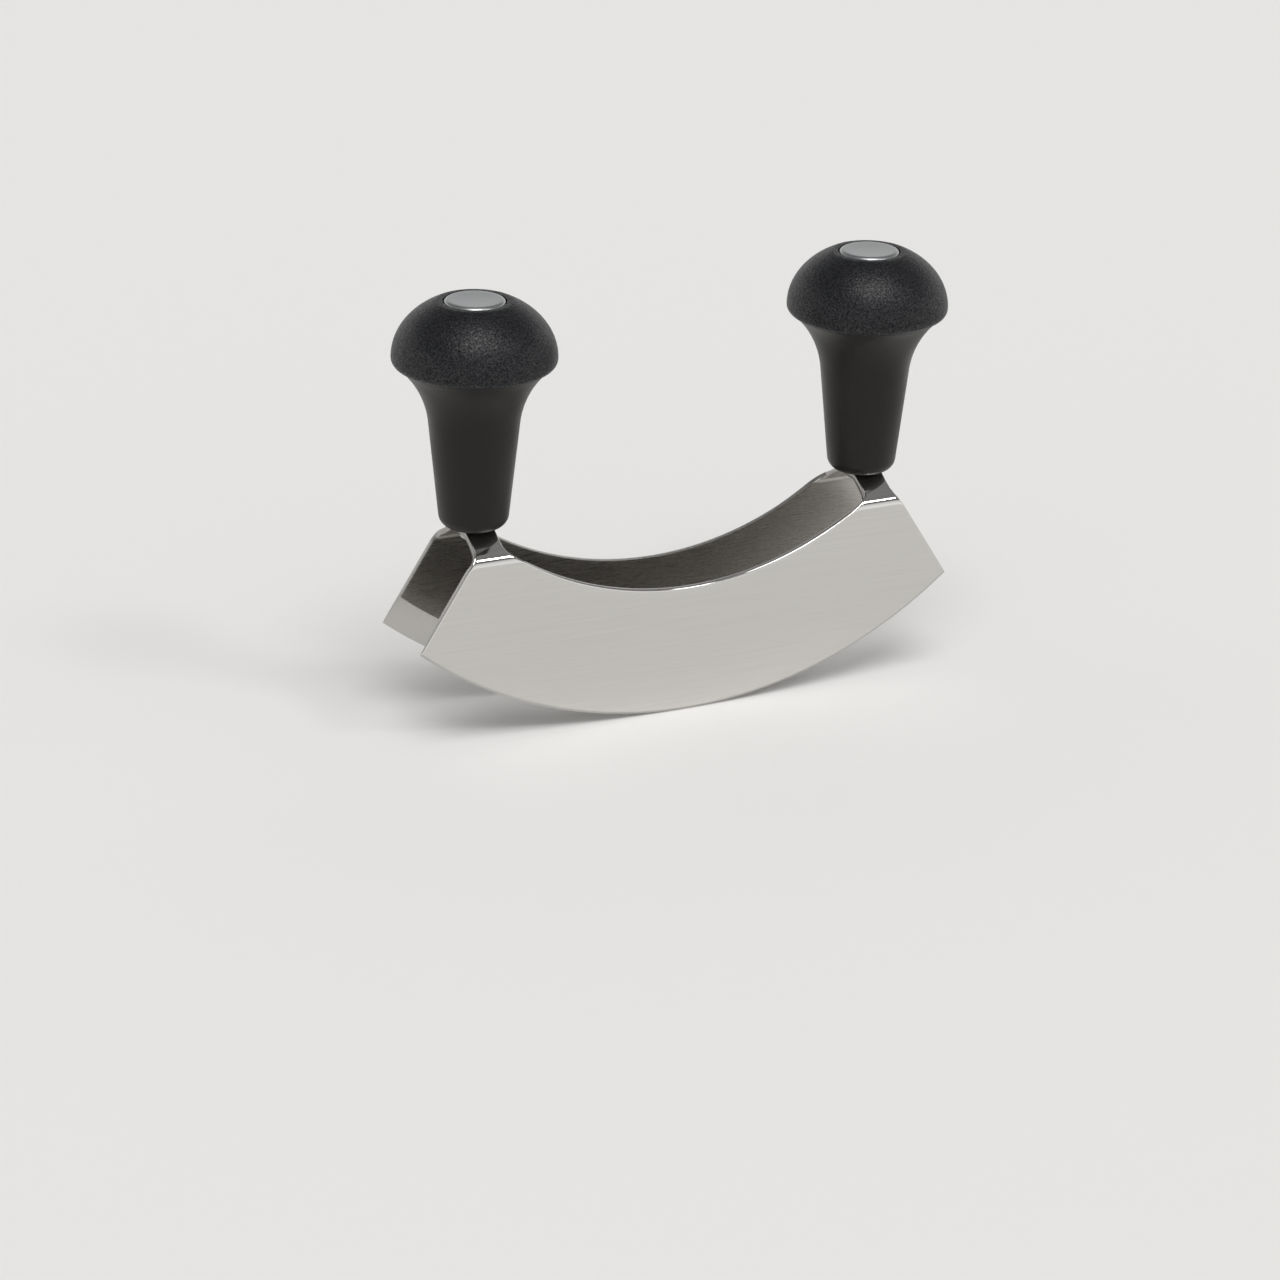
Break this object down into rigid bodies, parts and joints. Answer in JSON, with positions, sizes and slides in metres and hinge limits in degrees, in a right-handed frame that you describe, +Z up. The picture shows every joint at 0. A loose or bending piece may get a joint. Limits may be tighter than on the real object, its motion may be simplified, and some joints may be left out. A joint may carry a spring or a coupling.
{
  "type": "mezzaluna",
  "caption": "Mezzaluna with paired crescent blades folded from polished steel sheet, and a black knob handle bolted upright on the strap at each end.",
  "frame": {"origin": "on the supporting surface under the middle of the object, at the height of the lowest point of both cutting edges", "axes": "+X along the blades from the left handle to the right handle, +Y across them from the front blade to the back blade, +Z up along the handles"},
  "size_m": [0.1704, 0.0466, 0.1275],
  "materials": {
    "blade_steel": "stainless steel polished to a mirror, with satin ground edges",
    "shank_plastic": "smooth semi-gloss black moulding",
    "knob_plastic": "matte black moulding with a fine pebbled grain",
    "disc_metal": "satin, with fine turned rings",
    "bolt_steel": "bright zinc-plated steel"
  },
  "bodies": {
    "root": {"blade_body": "blade_steel", "shank_left": "shank_plastic", "shank_right": "shank_plastic", "knob_left": "knob_plastic", "knob_right": "knob_plastic", "cap_disc_left": "disc_metal", "cap_disc_right": "disc_metal", "tie_bolt_left": "bolt_steel", "tie_bolt_right": "bolt_steel", "lock_nut_left": "bolt_steel", "lock_nut_right": "bolt_steel", "washer_left": "bolt_steel", "washer_right": "bolt_steel"}
  },
  "joints": []
}
